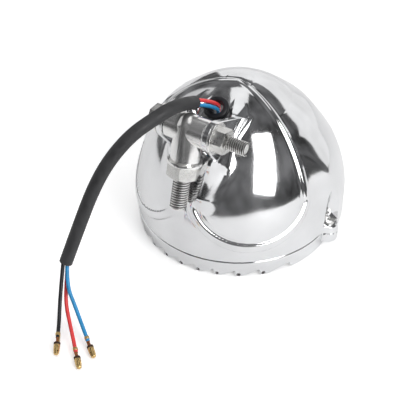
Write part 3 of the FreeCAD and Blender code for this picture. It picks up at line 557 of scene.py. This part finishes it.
# Terminals: a bullet terminal of pressed brass on each wire, with a ring crimped on the insulation,
# bare strands behind the barrel, a dark mouth and a strip that joins ring and barrel.
brass = surface("terminal_brass", (0.78, 0.55, 0.24), 1.0, 0.28, 0.15, 500.0, 0.00003)
strand = surface("copper_strand", (0.5, 0.2, 0.09), 1.0, 0.4, 0.3, 900.0, 0.00006)
collar = surface("stop_collar", (0.06, 0.03, 0.018), 0.3, 0.45, 0.3, 500.0, 0.00003)
TIPS = {"black": (-18.6, -158.1, 1.9), "red": (-2.0, -159.0, 1.9), "blue": (-0.1, -148.5, 1.9)}
for colour, tip in TIPS.items():
    start = Vector(WIRES[colour][-1])
    axis = (Vector(tip) - start).normalized()
    bm = bmesh.new()
    turned(bm, [(0, -0.7), (1.25, -0.7), (1.42, -0.5), (1.42, 0.9), (1.25, 1.1), (1.12, 1.15), (1.12, 2.5),
                (0.95, 2.6), (0.8, 3.2), (0.95, 5.2), (1.6, 5.3), (1.88, 5.5), (1.88, 6.6), (1.75, 6.8),
                (1.82, 7.1), (1.72, 10.2), (1.42, 12.2), (1.1, 12.5), (0, 12.5)], start, axis, 28)
    for f in bm.faces:
        along = (f.calc_center_median() - start).dot(axis)
        f.material_index = 3 if 1.12 < along < 2.52 else 1 if 2.52 < along < 5.25 else 2 if 5.25 < along < 6.9 else 0
    across = axis.cross(Vector((0, 0, 1))).normalized()
    side = across.cross(axis) * -1.0 if colour != "black" else across * -1.0
    strip = bmesh.ops.create_cube(bm, size=1.0)["verts"]
    place = Matrix((side.cross(axis), side, axis)).transposed().to_4x4()
    bmesh.ops.scale(bm, vec=(1.8, 0.45, 6.6), verts=strip)
    bmesh.ops.translate(bm, vec=(0, 1.15, 3.4), verts=strip)
    bmesh.ops.transform(bm, matrix=Matrix.Translation(start) @ place, verts=strip)
    bmesh.ops.recalc_face_normals(bm, faces=bm.faces)
    bmesh.ops.scale(bm, vec=(MM, MM, MM), verts=bm.verts)
    piece = metal_piece("terminal_" + colour + "_pressed", bm, brass, "terminal_" + colour, "lamp")
    piece.data.materials.append(strand)
    piece.data.materials.append(collar)
    piece.data.materials.append(insulation[colour])
    cord_piece("wire_" + colour + "_run", WIRES[colour], 0.0022, insulation[colour],
               "wire_" + colour)

# Inner pieces: reflector and ring in bright metal, lens and bulb in glass, rubber gasket and boot,
# plastic connector. They keep the turned shapes of the solids.
glass = surface("clear_glass", (0.96, 0.97, 0.98), 0.0, 0.03, 0.01, 60.0, 0.00001)
glass.node_tree.nodes["Principled BSDF"].inputs["Transmission Weight"].default_value = 1.0
glass.node_tree.nodes["Principled BSDF"].inputs["IOR"].default_value = 1.5
mirror = surface("reflector_mirror", (0.9, 0.9, 0.9), 1.0, 0.06, 0.03, 60.0, 0.00001)
plastic = surface("connector_plastic", (0.02, 0.02, 0.022), 0.0, 0.5, 0.15, 300.0, 0.00003)
FINISHES = {"lens": glass, "bulb": glass, "reflector": mirror, "retaining_ring": zinc, "bulb_base": zinc,
            "bulb_clip": zinc, "lens_gasket": rubber, "dust_boot": rubber, "bulb_connector": plastic}
for name, material in FINISHES.items():
    piece = nodes[name]
    piece.data.materials.clear()
    piece.data.materials.append(material)
    weld = piece.modifiers.new("weld", "WELD")
    weld.merge_threshold = 0.00001


# Table and studio: a white table that ends a little in front of the lamp and runs further forward on
# the left, a softbox on the right, a paler one on the left, a strip and a fill overhead, and a light
# wall behind.
def background_share(tree, glossy_share):
    """How much of the white background a ray sees: all of it by camera and glass, a share by mirrors."""
    rays = tree.nodes.new("ShaderNodeLightPath")
    seen = tree.nodes.new("ShaderNodeMath")
    seen.operation = "MAXIMUM"
    mirrored = tree.nodes.new("ShaderNodeMath")
    mirrored.operation = "MULTIPLY_ADD"
    mirrored.inputs[1].default_value = glossy_share
    tree.links.new(rays.outputs["Is Camera Ray"], seen.inputs[0])
    tree.links.new(rays.outputs["Is Transmission Ray"], seen.inputs[1])
    tree.links.new(rays.outputs["Is Glossy Ray"], mirrored.inputs[0])
    tree.links.new(seen.outputs[0], mirrored.inputs[2])
    return mirrored.outputs[0]


bm = bmesh.new()
bm.faces.new([bm.verts.new((x, y, 0.0)) for x, y in (
    (-0.57, 0.9), (-0.57, -0.62), (-0.3, -0.62), (-0.06, -0.25), (0.33, -0.25), (0.33, 0.9))])
table = bpy.data.meshes.new("table")
bm.to_mesh(table)
bm.free()
floor = bpy.data.objects.new("table", table)
bpy.context.collection.objects.link(floor)
white = surface("white_table", (0.93, 0.93, 0.93), 0.0, 0.7, 0.01, 20.0, 0.00001)
tree = white.node_tree
lift = tree.nodes.new("ShaderNodeMath")
lift.operation = "MULTIPLY"
lift.inputs[1].default_value = 0.38
tree.links.new(background_share(tree, 0.08), lift.inputs[0])
tree.nodes["Principled BSDF"].inputs["Emission Color"].default_value = (1.0, 1.0, 1.0, 1.0)
tree.links.new(lift.outputs[0], tree.nodes["Principled BSDF"].inputs["Emission Strength"])
table.materials.append(white)


def softbox(name, azimuth, elevation, distance, width, height, radiance, roll=0.0):
    """Rectangular area lamp that faces the lamp from the given direction."""
    a, e = math.radians(azimuth), math.radians(elevation)
    back = Vector((math.sin(a) * math.cos(e), -math.cos(a) * math.cos(e), math.sin(e)))
    side = Matrix.Rotation(math.radians(roll), 3, back) @ Vector((math.cos(a), math.sin(a), 0.0))
    data = bpy.data.lights.new(name, "AREA")
    data.shape = "RECTANGLE"
    data.size, data.size_y = width, height
    data.energy = radiance * math.pi * width * height
    lamp = bpy.data.objects.new(name, data)
    lamp.matrix_world = Matrix.Translation(Vector((0.0, 0.0, 0.06)) + back * distance) @ Matrix(
        (side, back.cross(side), back)).transposed().to_4x4()
    bpy.context.collection.objects.link(lamp)


softbox("softbox_right", 68.0, 29.0, 0.9, 0.4, 0.88, 5.0, -19.0)
softbox("strip_overhead", -151.0, 81.0, 1.2, 0.42, 1.28, 0.85)
softbox("softbox_left", -85.0, 24.0, 1.2, 1.3, 1.0, 0.5)
softbox("wall_behind", 179.0, 14.0, 1.4, 2.5, 1.1, 0.8)
softbox("fill_overhead", 0.0, 90.0, 1.3, 1.6, 1.6, 1.15)
bpy.data.objects["fill_overhead"].visible_glossy = False

world = bpy.data.worlds.new("studio")
bpy.context.scene.world = world
world.use_nodes = True
tree = world.node_tree
room = tree.nodes["Background"]
place = tree.nodes.new("ShaderNodeTexCoord")
cloud = tree.nodes.new("ShaderNodeTexNoise")
cloud.inputs["Scale"].default_value = 2.2
cloud.inputs["Detail"].default_value = 4.0
tree.links.new(place.outputs["Generated"], cloud.inputs["Vector"])
tone = tree.nodes.new("ShaderNodeValToRGB")
for stop, at, level in zip(tone.color_ramp.elements, (0.36, 0.68), (0.015, 0.2)):
    stop.position = at
    stop.color = (level, level, level * 1.03, 1.0)
tree.links.new(cloud.outputs["Fac"], tone.inputs["Fac"])
tree.links.new(tone.outputs["Color"], room.inputs["Color"])
backdrop = tree.nodes.new("ShaderNodeBackground")
backdrop.inputs["Color"].default_value = (1.0, 1.0, 1.0, 1.0)
choose = tree.nodes.new("ShaderNodeMixShader")
tree.links.new(background_share(tree, 0.02), choose.inputs[0])
tree.links.new(room.outputs[0], choose.inputs[1])
tree.links.new(backdrop.outputs[0], choose.inputs[2])
tree.links.new(choose.outputs[0], tree.nodes["World Output"].inputs["Surface"])

camera_data = bpy.data.cameras.new("camera")
camera_data.sensor_width = 36.0
camera_data.lens = 36.0 * 995.0 / 400.0
camera_data.clip_start = 0.01
camera = bpy.data.objects.new("camera", camera_data)
camera.location = (0.244894, -0.426012, 0.407592)
camera.rotation_mode = "QUATERNION"
camera.rotation_quaternion = Vector((0.417561, -0.655438, 0.629320)).to_track_quat("Z", "Y")
bpy.context.collection.objects.link(camera)
bpy.context.scene.camera = camera
bpy.context.scene.view_settings.view_transform = "Standard"
